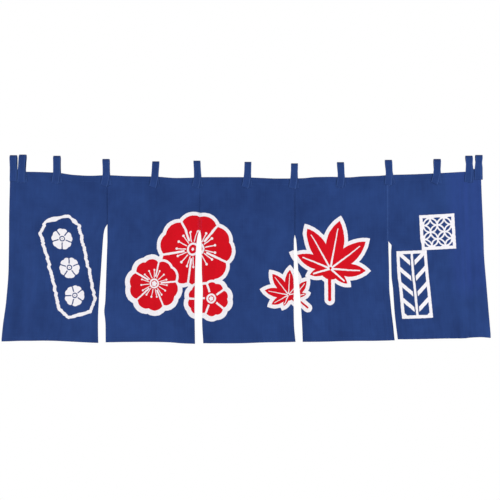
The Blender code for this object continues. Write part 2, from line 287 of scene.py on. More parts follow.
class Panel:
    """One width of cloth: its side edges, its foot, and where each point of the flat cloth hangs."""

    def __init__(self, number):
        self.number = number
        self.slits = (
            SLITS[number - 1] if number else None,
            SLITS[number] if number < len(SLITS) else None,
        )
        self.left = Line(self.side_edge(0, OUTER_LEFT))
        self.right = Line(self.side_edge(1, OUTER_RIGHT))
        self.calm_left, self.calm_right = (calm(*pair) for pair in zip((self.left, self.right), self.slits))
        self.foot = Line(FEET[number].hem)
        self.swing = FEET[number].swing
        self.folds = [fold for fold in FOLDS if fold.panel == number]
        self.creases = [crease for crease in CREASES if crease.panel == number]
        self.puckers = [pucker for pucker in PUCKERS if pucker.panel == number]
        self.width = self.right(0.0) - self.left(0.0)
        self.length = round(self.drop(0.5), 3)

    def side_edge(self, side, outer):
        """Rows of (distance down, x) along one side edge, which follows its seam down to the slit."""
        slit = self.slits[side]
        if slit is None:
            return outer
        opening = slit.right if side == 0 else slit.left
        seam = ((0.0, slit.x), (slit.apex, slit.x))
        return seam + tuple((slit.apex + down, slit.x + shift) for down, shift in opening)

    def heading_at(self, across):
        """Height of the top edge at a share of the width."""
        return heading(self.left(0.0) * (1 - across) + self.right(0.0) * across)

    def drop(self, across):
        """Length from the heading to the hem at a share of the width."""
        return self.heading_at(across) - self.foot(across)

    def sway(self, across, down, share):
        """How far back folds and swing carry the cloth, held still where it is sewn to its neighbour."""
        back = self.swing * ease((share - FOLD_GROWTH) / (1 - FOLD_GROWTH))
        for fold in self.folds:
            aside = (across - fold.across - fold.shift * (1 - share)) * self.width / fold.half_width
            if abs(aside) < 1:
                grown = ease((share - fold.begins) / FOLD_GROWTH)
                back += fold.depth * grown * (1 + math.cos(math.pi * aside)) / 2
        for slit, from_edge in zip(self.slits, (across, 1 - across)):
            if slit is not None:
                free = ease((down - slit.apex) / FREE_DROP)
                back *= free + (1 - free) * ease(from_edge * self.width / HELD_WIDTH)
        return back

    def crumple(self, across, down, x, z):
        """The small relief that hanging and sewing leave: wrinkles, puckers, and seams that sink in."""
        from_edges = {
            "left": across * self.width,
            "right": (1 - across) * self.width,
            "foot": self.length - down,
        }
        back = sum(depth * wave_at(x, z, size) for size, depth in WRINKLES)
        share = down / self.length
        for crease in self.creases:
            drift = (crease.foot - crease.top) * share
            aside = (across - crease.top - drift) * self.width / crease.half_width
            if abs(aside) < 1:
                begun = ease((share - crease.begins) / CREASE_FADE)
                shown = begun * ease((crease.ends - share) / CREASE_FADE)
                back += crease.depth * shown * (1 + math.cos(math.pi * aside)) / 2
        for pucker in self.puckers:
            along = across * self.width if pucker.edge == "foot" else down
            begun = ease((along - pucker.start) / PUCKER_FADE)
            inside = begun * ease((pucker.end - along) / PUCKER_FADE)
            near = math.exp(-from_edges[pucker.edge] / PUCKER_REACH[pucker.edge])
            uneven = along / pucker.wave + PUCKER_WANDER * wave_at(x, z, 3 * pucker.wave)
            back += pucker.depth * inside * near * math.sin(2 * math.pi * uneven)
        for edge, distance in from_edges.items():
            along = across * self.width if edge == "foot" else down
            ripple = math.sin(2 * math.pi * along / HEM_PUCKER_WAVE + 7 * across)
            back += HEM_PUCKER * math.exp(-distance / HEM_PUCKER_REACH) * ripple
        for seam, slit, edge in zip((self.number - 1, self.number), self.slits, ("left", "right")):
            if slit is not None:
                sewn = 1 - ease((down - slit.apex) / SEAM_SINK_END)
                back += SEAM_SINKS[seam] * sewn * math.exp(-from_edges[edge] / SEAM_SINK_REACH)
        return back * ease((down - 0.6 * CLEAR_OF_LOOPS) / CLEAR_OF_LOOPS)

    def hang(self, flat_across, flat_down, proud=0.0):
        """Where a point of the flat cloth hangs, hems and all, or a point that stands proud of the front."""
        across_m, side_depth, _ = turned(flat_across, CLOTH_WIDTH, TURN_RADIUS)
        from_side = min(across_m, CLOTH_WIDTH - across_m)
        corner = 1 - ease((from_side - SIDE_HEM) / CORNER_WIDTH)
        down_m, end_depth, facing = turned(flat_down, self.length, TURN_RADIUS * (1 + 2 * corner))
        across, share = across_m / CLOTH_WIDTH, down_m / self.length
        at_left, at_right = share * self.drop(0.0), share * self.drop(1.0)
        x = self.calm_left(at_left) * (1 - across) + self.calm_right(at_right) * across
        x += (self.left(at_left) - self.calm_left(at_left)) * (1 - across) ** TUG_FADE
        x += (self.right(at_right) - self.calm_right(at_right)) * across**TUG_FADE
        down = share * self.drop(across)
        z = self.heading_at(across) - down
        y = FRONT_Y + bow(x, down) + self.sway(across, down, share) + self.crumple(across, down, x, z)
        return Vector((x, y + end_depth + side_depth * facing - proud, z))


def even(start, end, steps):
    """Evenly spaced places from a start up to, but without, an end."""
    return [start + (end - start) * step / steps for step in range(steps)]


def flat_places(length, near_hem, far_hem, bend):
    """Places of the grid's lines along the flat cloth, which crowd near an edge and where it turns over."""
    crowded = [(step / EDGE_STEPS) ** EDGE_CROWDING for step in range(EDGE_STEPS)]
    near_edge = [bend + (EDGE_BAND - bend) * share for share in crowded]
    far_edge = [length - place for place in reversed(near_edge)]
    cells = round((length - 2 * EDGE_BAND) / CELL)
    middle = even(EDGE_BAND, length - EDGE_BAND, cells) + [length - EDGE_BAND]
    over = TURN_REACH * bend
    near = even(-near_hem, -over, HEM_STEPS) + even(-over, bend, TURN_STEPS)
    far = even(length - bend, length + over, TURN_STEPS)[1:]
    far += even(length + over, length + far_hem, HEM_STEPS)
    return near + near_edge + middle + far_edge + far + [length + far_hem]


def flat_grid(columns, rows, first_u=0.0):
    """A grid of cloth with a UV map of flat metres, and the flat place of each of its corners."""
    sheet = bmesh.new()
    bmesh.ops.create_grid(sheet, x_segments=len(columns) - 1, y_segments=len(rows) - 1, size=0.5)
    places = {}
    for vert in sheet.verts:
        column = round((vert.co.x + 0.5) * (len(columns) - 1))
        row = round((0.5 - vert.co.y) * (len(rows) - 1))
        places[vert] = (columns[column], rows[row])
    cloth_map = sheet.loops.layers.uv.new("cloth")
    for face in sheet.faces:
        for corner in face.loops:
            across, down = places[corner.vert]
            corner[cloth_map].uv = (first_u + across, -down)
    return sheet, places


def add_piece(name, shape, materials):
    """Makes an object of a finished mesh, with its place in the mesh."""
    mesh = bpy.data.meshes.new(name)
    shape.to_mesh(mesh)
    shape.free()
    mesh.shade_smooth()
    for material in materials:
        mesh.materials.append(material)
    piece = bpy.data.objects.new(name, mesh)
    bpy.context.scene.collection.objects.link(piece)
    return piece


# The dye and the prints. The cloth is indigo blue with the faint clouds of a dye bath and slubs in its yarn.
# Motifs are printed on the front in white and red, with edges as soft as a hand-cut stencil leaves them.
BLUE_DEEP = (0.0106, 0.0305, 0.123, 1.0)
BLUE_PALE = (0.0167, 0.0460, 0.173, 1.0)
# Paler blue painted on as highlight, along the fourth seam's proud edge and the loops' stitched edges
BLUE_PAINTED_HIGHLIGHT = (0.050, 0.105, 0.300, 1.0)
BLUE_FADED = (0.0215, 0.0494, 0.227, 1.0)
WHITE_PRINT = (0.735, 0.713, 0.745, 1.0)
RED_DEEP = (0.485, 0.0001, 0.0062, 1.0)
RED_PALE = (0.555, 0.0003, 0.0085, 1.0)
PRINT_EDGE = 0.0009
CUT_WOBBLE = 0.0022
OUTLINE = 0.0135
YARN_PITCH = 0.0008


class Shade:
    """A socket in a material. Arithmetic on it adds Math nodes, and node() adds any other kind."""

    def __init__(self, socket):
        self.socket = socket

    def node(self, kind, settings=None, inputs=None, output=0):
        """Adds a node, sets it up, gives its sockets values or links, and returns one of its outputs."""
        tree = self.socket.id_data
        made = tree.nodes.new("ShaderNode" + kind)
        for name, value in (settings or {}).items():
            setattr(made, name, value)
        for name, value in (inputs or {}).items():
            if isinstance(value, Shade):
                tree.links.new(value.socket, made.inputs[name])
            else:
                made.inputs[name].default_value = value
        return Shade(made.outputs[output])

    def math(self, operation, *terms, clamp=False):
        """A Math node on this socket and the terms after it."""
        settings = {"operation": operation, "use_clamp": clamp}
        return self.node("Math", settings, dict(enumerate((self, *terms))))

    def __add__(self, other):
        return self.math("ADD", other)

    def __radd__(self, other):
        return self.math("ADD", other)

    def __sub__(self, other):
        return self.math("SUBTRACT", other)

    def __rsub__(self, other):
        return self.node("Math", {"operation": "SUBTRACT"}, {0: other, 1: self})

    def __mul__(self, other):
        return self.math("MULTIPLY", other)

    def __rmul__(self, other):
        return self.math("MULTIPLY", other)

    def __truediv__(self, other):
        return self.math("DIVIDE", other)

    def __neg__(self):
        return self.math("MULTIPLY", -1.0)

    def __abs__(self):
        return self.math("ABSOLUTE")

    def least(self, other):
        """The lesser of two, which joins two shapes."""
        return self.math("MINIMUM", other)

    def most(self, other):
        """The greater of two, which keeps what two shapes share."""
        return self.math("MAXIMUM", other)

    def clamped(self):
        """The value kept from 0 to 1."""
        return self.math("ADD", 0.0, clamp=True)

    def inked(self):
        """1 inside a shape and 0 outside it, from the distance to its edge."""
        return self.math("MULTIPLY", -1.0 / PRINT_EDGE).math("ADD", 0.5, clamp=True)


def hypot(x, y):
    """The length of (x, y)."""
    return (x * x + y * y).math("SQRT")


def turn(x, y, degrees):
    """The place (x, y) as seen from axes turned by an angle."""
    cosine, sine = math.cos(math.radians(degrees)), math.sin(math.radians(degrees))
    return x * cosine + y * sine, y * cosine - x * sine


def mix(share, first, second):
    """One colour mixed into another."""
    return share.node("Mix", {"data_type": "RGBA"}, {0: share, 6: first, 7: second}, output=2)


def bar(x, y, half_wide, half_tall):
    """Distance to an upright rectangle about the origin."""
    return (abs(x) - half_wide).most(abs(y) - half_tall)


def stroke(x, y, start, end, half_width):
    """Distance to a straight stroke with round ends."""
    run, rise = end[0] - start[0], end[1] - start[1]
    square = run * run + rise * rise
    x, y = x - start[0], y - start[1]
    along = ((x * run + y * rise) / square).clamped()
    return hypot(x - along * run, y - along * rise) - half_width


def unevenness(place, scale, detail=2.0):
    """Noise along one line, about a half."""
    return place.node("TexNoise", {"noise_dimensions": "1D"}, {"W": place, "Scale": scale, "Detail": detail})


# A blossom's and a leaf's own measures are shares of its size. Only a large blossom has stamens.
Blossom = namedtuple("Blossom", "x y size tilt")
FINE_BLOSSOM = 0.08


def blossom(x, y, flower):
    """Distances to a five-petalled blossom, and to the gaps, stamens and eye that stay uninked in it."""
    x, y = turn(x - flower.x, y - flower.y, flower.tilt)
    reach = hypot(x, y) * (1.0 / flower.size)
    angle = y.math("ARCTAN2", x)
    sector = 2 * math.pi / 5
    petal = (angle / sector + 0.5).math("FRACT") * sector - sector / 2
    uneven = reach * (1.0 + (angle + 0.6).math("SINE") * 0.05)
    along, aside = uneven * petal.math("COSINE"), abs(uneven * petal.math("SINE"))
    shape = hypot(along - 0.60, aside - 0.155) - 0.375
    shape = shape.least(hypot(along - 0.42, aside) - 0.38)
    fine = flower.size > FINE_BLOSSOM
    gap = (sector / 2 - abs(petal)).math("SINE") * reach - (0.030 if fine else 0.055)
    gap = gap.most((0.26 if fine else 0.36) - reach)
    if not fine:
        bare = gap.least(abs(reach - 0.22) - 0.050)
        return shape * flower.size, bare * flower.size
    stamen_angle = (angle / (sector / 3) + 0.5).math("FRACT") * (sector / 3) - sector / 6
    stamen = abs(reach * stamen_angle.math("SINE")) - 0.014
    stamen = stamen.most(abs(reach - 0.34) - 0.13)
    tip = hypot(reach * stamen_angle.math("COSINE") - 0.50, reach * stamen_angle.math("SINE")) - 0.035
    eye = abs(reach - 0.155) - 0.030
    bare = gap.least(stamen).least(tip).least(eye)
    return shape * flower.size, bare * flower.size


# The lobes of a maple leaf: (degrees that it leans, length, half width)
LEAF_LOBES = ((0, 1.0, 0.185), (41, 0.93, 0.170), (-41, 0.93, 0.170), (80, 0.74, 0.135), (-80, 0.74, 0.135),
              (118, 0.45, 0.085), (-118, 0.45, 0.085))
Leaf = namedtuple("Leaf", "x y size tilt")


def maple(x, y, leaf):
    """Distances to a maple leaf of seven pointed lobes and a stalk, and to its veins, which stay uninked."""
    x, y = turn(x - leaf.x, y - leaf.y, leaf.tilt)
    x, y = x * (1.0 / leaf.size), y * (1.0 / leaf.size)
    shape = hypot(x, y) - 0.22
    veins = None
    for lean, length, half_width in LEAF_LOBES:
        aside, along = turn(x, y, -lean)
        radius = (length * length / 4 + half_width * half_width) / (2 * half_width)
        lobe = hypot(along - length / 2, abs(aside) + (radius - half_width)) - radius
        shape = shape.least(lobe)
        vein = (abs(aside) - 0.020 + along * 0.014).most(abs(along - length * 0.44) - length * 0.40)
        veins = vein if veins is None else veins.least(vein)
    stalk = stroke(x, y, (0.0, -0.1), (0.09, -0.62), 0.034)
    return shape.least(stalk) * leaf.size, veins * leaf.size


# The prints' places on the flat cloth, in metres: x from the first panel's outer edge, y down from the
# heading as a minus. Each returns the distances to what is inked white and to what is inked red over it.
BLOSSOMS = (
    Blossom(0.667, -0.257, 0.128, 11),
    Blossom(0.520, -0.385, 0.098, 43),
    Blossom(0.712, -0.436, 0.066, 70),
)
BLOSSOM_RING = 0.0045
MAPLES = (Leaf(1.140, -0.330, 0.178, -14), Leaf(1.000, -0.425, 0.098, 38))


def blossom_spray(x, y):
    """A spray of three blossoms in red with a white outline, on the second and third panels."""
    shapes = [blossom(x, y, flower) for flower in BLOSSOMS]
    red, bare = None, None
    for shape, gaps in shapes:
        if red is None:
            red, bare = shape, gaps
        else:
            ring = abs(shape) - BLOSSOM_RING
            bare = bare.most(-shape).least(gaps.most(shape)).least(ring)
            red = red.least(shape)
    return red - OUTLINE, red.most(-bare)


def maple_pair(x, y):
    """A large and a small maple leaf in red with a white outline, on the third and fourth panels."""
    shapes = [maple(x, y, leaf) for leaf in MAPLES]
    red, bare = shapes[0][0].least(shapes[1][0]), shapes[0][1].least(shapes[1][1])
    return red - OUTLINE, red.most(-bare)


PLAQUE = namedtuple("Plaque", "x y tilt half_wide half_tall")(0.218, -0.334, 17.0, 0.070, 0.178)
PLAQUE_FLOWERS = (
    Blossom(0.188, -0.235, 0.038, 20),
    Blossom(0.219, -0.336, 0.038, 60),
    Blossom(0.247, -0.436, 0.038, 5),
)
PLAQUE_LINE = 0.0058
PLAQUE_RAGGED = 0.016
CORNER_SLANT = (0.86, 0.62)
CORNER_CUT = 0.146


def slanted_plaque(x, y):
    """A slanted hand-cut frame around three small white blossoms, on the first panel."""
    u, v = turn(x - PLAQUE.x, y - PLAQUE.y, PLAQUE.tilt)
    ragged = unevenness(v + u * 0.3, 46.0, 3.0) - 0.5
    corner = (abs(u) * CORNER_SLANT[0] + abs(v) * CORNER_SLANT[1]) - CORNER_CUT
    edge = bar(u, v, PLAQUE.half_wide, PLAQUE.half_tall).most(corner) + ragged * PLAQUE_RAGGED
    white = abs(edge) - PLAQUE_LINE
    for flower in PLAQUE_FLOWERS:
        shape, gaps = blossom(x, y, flower)
        white = white.least(shape.most(-gaps))
    return white, None


SQUARE = namedtuple("Square", "x y tilt half")(1.536, -0.211, 1.0, 0.0575)
CIRCLE_PITCH = 0.0500
CIRCLE_LINE = 0.0027
FRAME_LINE = 0.0055
TALL = namedtuple("Tall", "x y tilt half_wide half_tall")(1.438, -0.398, 1.0, 0.0505, 0.1165)
FEATHER_PITCH = 0.0560
FEATHER_SLANT = 0.95
FEATHER_START = 0.25
FEATHER_SHARE = 0.16
ACROSS_THE_SLANT = 0.72
SHAFT_HALF_WIDTH = 0.0042
SHAFT_CLEARANCE = 0.0085


def square_and_tall_frames(x, y):
    """A square frame of linked circles and a tall frame of arrow feathers, in white, on the fifth panel."""
    u, v = turn(x - SQUARE.x, y - SQUARE.y, SQUARE.tilt)
    edge = bar(u, v, SQUARE.half, SQUARE.half)
    frame_line = abs(edge) - FRAME_LINE
    cell_u = (u / CIRCLE_PITCH + 0.5).math("FRACT") - 0.5
    cell_v = (v / CIRCLE_PITCH + 0.5).math("FRACT") - 0.5
    near = hypot(cell_u, cell_v)
    corner = hypot(0.5 - abs(cell_u), 0.5 - abs(cell_v))
    ring = abs(near - 0.5).least(abs(corner - 0.5)) * CIRCLE_PITCH - CIRCLE_LINE
    white = frame_line.least(ring.most(edge))
    u, v = turn(x - TALL.x, y - TALL.y, TALL.tilt)
    edge = bar(u, v, TALL.half_wide, TALL.half_tall)
    frame_line = abs(edge) - FRAME_LINE
    barb = ((v - abs(u) * FEATHER_SLANT) / FEATHER_PITCH + FEATHER_START).math("FRACT")
    feather = (abs(barb - 0.5) - FEATHER_SHARE) * (FEATHER_PITCH * ACROSS_THE_SLANT)
    shaft = abs(u) - SHAFT_HALF_WIDTH
    feather = feather.most(SHAFT_CLEARANCE - abs(u)).least(shaft)
    return white.least(frame_line).least(feather.most(edge)), None


def yarn_height(place):
    """Height of the plain weave's over-and-under yarns."""
    u, v = (place.node("SeparateXYZ", inputs={0: place}, output=axis) for axis in (0, 1))
    warp = (u * (2 * math.pi / YARN_PITCH)).math("SINE")
    weft = (v * (2 * math.pi / YARN_PITCH)).math("SINE")
    return warp * weft


def streaks(place, wide, tall, detail=2.0):
    """Uneven streaks of a given width and height over the cloth, about 0."""
    stretched = place.node("VectorMath", {"operation": "MULTIPLY"}, {0: place, 1: (1 / wide, 1 / tall, 1.0)})
    inputs = {"Vector": stretched, "Scale": 1.0, "Detail": detail}
    return place.node("TexNoise", {"noise_dimensions": "2D"}, inputs) - 0.5


# The fourth seam's painted highlight, a pale line beside its proud edge: its place left of the seam, its half
# width, and where and how softly it ends
SEAM_HIGHLIGHT_SHIFT = 0.0022
SEAM_HIGHLIGHT_HALF_WIDTH = 0.0024
SEAM_HIGHLIGHT_END = 0.255
SEAM_HIGHLIGHT_FADE = 0.025


def fourth_seam_painted_highlight(x, y):
    """How far a painted highlight lightens the line along the fourth seam, which stands proud of the cloth.
    """
    near = 1.0 - abs(x - 4 * CLOTH_WIDTH + SEAM_HIGHLIGHT_SHIFT) * (1 / SEAM_HIGHLIGHT_HALF_WIDTH)
    return near.clamped() * (0.20 + unevenness(y, 60.0) * 0.70) * ((y + SEAM_HIGHLIGHT_END) * (1 / SEAM_HIGHLIGHT_FADE)).clamped()


# Where the fifth panel's faded part begins across it and ends down it, and how softly
FADED_FROM = 1.565
FADED_RISE = 0.035
FADED_END = 0.470
FADED_FALL = 0.070


def outer_fade(x, y):
    """How far the dye has faded on the outer third of the fifth panel, in streaks that end above its foot."""
    outer = ((x - FADED_FROM) * (1 / FADED_RISE)).clamped()
    above_foot = ((y + FADED_END) * (1 / FADED_FALL)).clamped()
    return outer * above_foot * (0.10 + unevenness(x, 60.0) * 0.50)


def cloth_material(name, prints=(), inked_from=0.0, through=1.0):
    """Matt dyed cotton with its prints, which cover one width of cloth from a flat x on and leave its turned
    hems bare. On the back, only a share of their colour comes through."""
    material = bpy.data.materials.new(name)
    material.use_nodes = True
    tree = material.node_tree
    surface = tree.nodes["Principled BSDF"]
    place = Shade(tree.nodes.new("ShaderNodeUVMap").outputs[0])
    place.socket.node.uv_map = "cloth"
    clouds = streaks(place, 0.110, 0.150, 3.0)
    blotches = streaks(place, 0.030, 0.045, 3.0)
    warp_slub = streaks(place, 0.0021, 0.120)
    weft_slub = streaks(place, 0.080, 0.0021)
    tone = (0.5 + clouds * 1.3 + blotches * 0.8 + warp_slub * 0.75 + weft_slub * 0.45).clamped()
    colour = mix(tone, BLUE_DEEP, BLUE_PALE)
    wobble = streaks(place, 0.009, 0.009, 3.0)
    skew = streaks(place, 0.010, 0.012, 3.0)
    x, y = (place.node("SeparateXYZ", inputs={0: place}, output=axis) for axis in (0, 1))
    # Painted highlight: a pale line is painted beside the fourth seam, where its proud edge would catch the
    # light
    if maple_pair in prints or square_and_tall_frames in prints:
        colour = mix(fourth_seam_painted_highlight(x, y), colour, BLUE_PAINTED_HIGHLIGHT)
    if square_and_tall_frames in prints:
        colour = mix(outer_fade(x, y), colour, BLUE_FADED)
    x, y = x + wobble * CUT_WOBBLE, y + skew * CUT_WOBBLE
    worn = 1.0 - (0.25 + warp_slub + weft_slub).clamped() * 0.09
    ink = None
    turned_under = abs(x - inked_from - CLOTH_WIDTH / 2) - CLOTH_WIDTH / 2
    for draw in prints:
        white, red = draw(x, y)
        white_mask = white.most(turned_under).inked() * through
        colour = mix(white_mask * worn, colour, WHITE_PRINT)
        ink = white_mask if ink is None else ink.most(white_mask)
        if red is not None:
            red_mask = red.most(turned_under).inked() * through**0.5
            colour = mix(red_mask, colour, mix(tone, RED_DEEP, RED_PALE))
    tree.links.new(colour.socket, surface.inputs["Base Color"])
    roughness = 0.86 + warp_slub * 0.12
    if ink is not None:
        roughness = roughness - ink * 0.08
    tree.links.new(roughness.socket, surface.inputs["Roughness"])
    surface.inputs["Specular IOR Level"].default_value = 0.09
    surface.inputs["Sheen Weight"].default_value = 0.03
    surface.inputs["Sheen Roughness"].default_value = 0.6
    relief = warp_slub * 0.8 + weft_slub * 0.8 + yarn_height(place) * 0.25
    bump = relief.node("Bump", inputs={"Height": relief, "Strength": 0.5, "Distance": 0.0003})
    tree.links.new(bump.socket, surface.inputs["Normal"])
    return material


PANEL_PRINTS = (
    (slanted_plaque,),
    (blossom_spray,),
    (blossom_spray, maple_pair),
    (maple_pair,),
    (square_and_tall_frames,),
)
THROUGH_TO_BACK = 0.22

panels = [Panel(number) for number in range(len(FEET))]
for panel in panels:
    columns = flat_places(CLOTH_WIDTH, SIDE_HEM, SIDE_HEM, SIDE_TURN)
    rows = flat_places(panel.length, TOP_HEM, FOOT_HEM, END_TURN)
    first_u = panel.number * CLOTH_WIDTH
    sheet, places = flat_grid(columns, rows, first_u)
    for vert, (across, down) in places.items():
        vert.co = panel.hang(across, down)
    label = f"panel_{panel.number + 1}"
    front = cloth_material(f"{label}_front", PANEL_PRINTS[panel.number], first_u)
    back = cloth_material(f"{label}_back", PANEL_PRINTS[panel.number], first_u, THROUGH_TO_BACK)
    piece = add_piece(f"{label}_cloth", sheet, (front, back))
    body = piece.modifiers.new("thickness", "SOLIDIFY")
    body.thickness = CLOTH_THICKNESS
    body.offset = 0.0
    body.material_offset = 1
    body.material_offset_rim = 1
    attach(piece, "root")
    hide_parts(label)

# The hems and seams are sewn with blue cotton thread, in running stitches that show on the front and on the
# back of each panel beside its edges, and sink a little into the cloth.
STITCH_PITCH = 0.0038
STITCH_HALF = 0.0013
THREAD_RADIUS = 0.00028
THREAD_PROUD = 0.00005
FIRST_STITCH = 0.004
ROW_MARGIN = 0.010
SIDE_STITCH = 0.0062
FOOT_STITCH = 0.0130
TOP_STITCH = 0.0215
SEAM_PITCH = 0.0045
SEAM_STITCH_IN = 0.0014
SEAM_STITCH_SLANT = 0.0012
SEAM_MARGIN = 0.006
THREAD_BLUE = (0.020, 0.055, 0.200, 1.0)
THREAD_PALER = 1.35


def thread_material(name):
    """Twisted cotton thread with a slight lustre."""
    material = bpy.data.materials.new(name)
    material.use_nodes = True
    tree = material.node_tree
    surface = tree.nodes["Principled BSDF"]
    place = Shade(tree.nodes.new("ShaderNodeTexCoord").outputs["Object"])
    twist = place.node("TexNoise", inputs={"Vector": place, "Scale": 900.0, "Detail": 1.0}) - 0.5
    pale = tuple(channel * THREAD_PALER for channel in THREAD_BLUE[:3]) + (1.0,)
    colour = mix((0.5 + twist).clamped(), THREAD_BLUE, pale)
    tree.links.new(colour.socket, surface.inputs["Base Color"])
    surface.inputs["Roughness"].default_value = 0.62
    surface.inputs["Specular IOR Level"].default_value = 0.3
    bump = twist.node("Bump", inputs={"Height": twist, "Strength": 0.4, "Distance": 0.0002})
    tree.links.new(bump.socket, surface.inputs["Normal"])
    return material


def sew(thread, bead, start, end, radius=THREAD_RADIUS):
    """Adds one stitch, a bead of thread that lies from a start to an end."""
    along = end - start
    place = Matrix.Translation((start + end) / 2) @ along.to_track_quat("Z", "Y").to_matrix().to_4x4()
    place = place @ Matrix.Diagonal((radius, radius, along.length / 2, 1.0))
    bead.transform(place)
    thread.from_mesh(bead)
    bead.transform(place.inverted())


def new_bead():
    """A small round bead of unit radius, the shape of one stitch before it is drawn out."""
    shape = bmesh.new()
    bmesh.ops.create_icosphere(shape, subdivisions=1, radius=1.0)
    bead = bpy.data.meshes.new("bead")
    shape.to_mesh(bead)
    shape.free()
    return bead


def stitch_row(thread, bead, path, length):
    """Sews evenly along a path, a function of the distance along it that gives the thread's place."""
    for number in range(int(length / STITCH_PITCH)):
        middle = (number + 0.5) * STITCH_PITCH
        sew(thread, bead, path(middle - STITCH_HALF), path(middle + STITCH_HALF))


bead = new_bead()
hem_thread = bmesh.new()
ON_FRONT = CLOTH_THICKNESS / 2 + THREAD_PROUD
ON_BACK = -ON_FRONT - 2 * TURN_RADIUS
for panel in panels:
    for proud, first in ((ON_FRONT, FIRST_STITCH), (ON_BACK, FIRST_STITCH + STITCH_PITCH / 2)):
        row_length = panel.length - ROW_MARGIN
        for across in (SIDE_STITCH, CLOTH_WIDTH - SIDE_STITCH):
            stitch_row(hem_thread, bead, lambda d: panel.hang(across, first + d, proud), row_length)
        row_length = CLOTH_WIDTH - ROW_MARGIN
        for down in (TOP_STITCH, panel.length - FOOT_STITCH):
            stitch_row(hem_thread, bead, lambda d: panel.hang(first + d, down, proud), row_length)
for left, right in zip(panels, panels[1:]):
    for number in range(int((left.slits[1].apex - SEAM_MARGIN) / SEAM_PITCH)):
        down = FIRST_STITCH + number * SEAM_PITCH
        start = left.hang(CLOTH_WIDTH - SEAM_STITCH_IN, down, ON_FRONT)
        end = right.hang(SEAM_STITCH_IN, down + SEAM_STITCH_SLANT, ON_FRONT)
        sew(hem_thread, bead, start, end)
blue_thread = thread_material("blue_thread")
hem_stitches = add_piece("hem_stitches", hem_thread, (blue_thread,))
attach(hem_stitches, "root")

# The thirteen loops are strips of the same cloth, folded lengthwise and stitched along both edges. Each goes
# over the pole, and both of its ends are sewn on the front of the heading, splayed like a narrow inverted V.
TAPE_WIDTH = 0.025
TAPE_THICKNESS = 0.00115
LEAF_Y = 0.00075
EYE_RADIUS = 0.0106
EYE_TOP = 0.0112
NECK_RISE = 0.003
SPLAY_POWER = 3.0

# A leaf's sewn end is pressed flat: over a length, how far back in front and behind, and how much thinner
PRESSED_LENGTH = 0.014
PRESS_FRONT = 0.00115
PRESS_REAR = 0.00035
PRESS_THINNER = 0.45
EYE_STEPS = 26
LEG_STEPS = 12
LAP_STEPS = 12

# The loops, left to right: the middle on the pole, the top, the middle at the heading, how far the front
# leaf has drawn left and the rear leaf right, how far each end is splayed, and how far down they are sewn
Loop = namedtuple("Loop", "x top neck spread front_end rear_end lap")
LOOPS = (
    Loop(-0.8368, 0.0353, -0.8363, 0.0013, -0.0010, 0.0005, 0.044),
    Loop(-0.8029, 0.0374, -0.8070, 0.0020, -0.0005, 0.0050, 0.043),
    Loop(-0.6804, 0.0331, -0.6803, 0.0010, -0.0070, 0.0060, 0.038),
    Loop(-0.5036, 0.0216, -0.5022, 0.0000, -0.0105, 0.0065, 0.038),
    Loop(-0.3242, 0.0130, -0.3277, 0.0000, -0.0095, 0.0045, 0.038),
    Loop(-0.1766, 0.0155, -0.1735, 0.0000, -0.0095, 0.0065, 0.037),
    Loop(0.0074, 0.0112, 0.0058, 0.0000, -0.0100, 0.0055, 0.037),
    Loop(0.1748, 0.0058, 0.1737, 0.0004, -0.0070, 0.0045, 0.036),
    Loop(0.3400, 0.0101, 0.3431, 0.0000, -0.0065, 0.0045, 0.037),
    Loop(0.5126, 0.0184, 0.5162, 0.0000, -0.0050, 0.0110, 0.036),
    Loop(0.6880, 0.0216, 0.6883, 0.0003, -0.0107, 0.0035, 0.037),
    Loop(0.8025, 0.0335, 0.8051, 0.0018, -0.0040, 0.0003, 0.043),
    Loop(0.8384, 0.0360, 0.8378, 0.0020, -0.0002, 0.0005, 0.040),
)

# Half of the folded strip's section: (share of the width in from an edge, share of the half thickness)
SECTION = (
    (0.000, 0.00), (0.008, 0.62), (0.028, 0.97), (0.060, 1.00), (0.090, 0.60), (0.120, 0.92), (0.220, 1.00),
    (0.500, 0.94),
)
EDGE_STITCH = 0.090
EDGE_STITCH_IN = (0.5 - EDGE_STITCH) * TAPE_WIDTH
EDGE_ROW_START = 0.002
LOWER_ROW = 0.003
UPPER_ROW = 0.004
STITCH_OUT = 0.00036


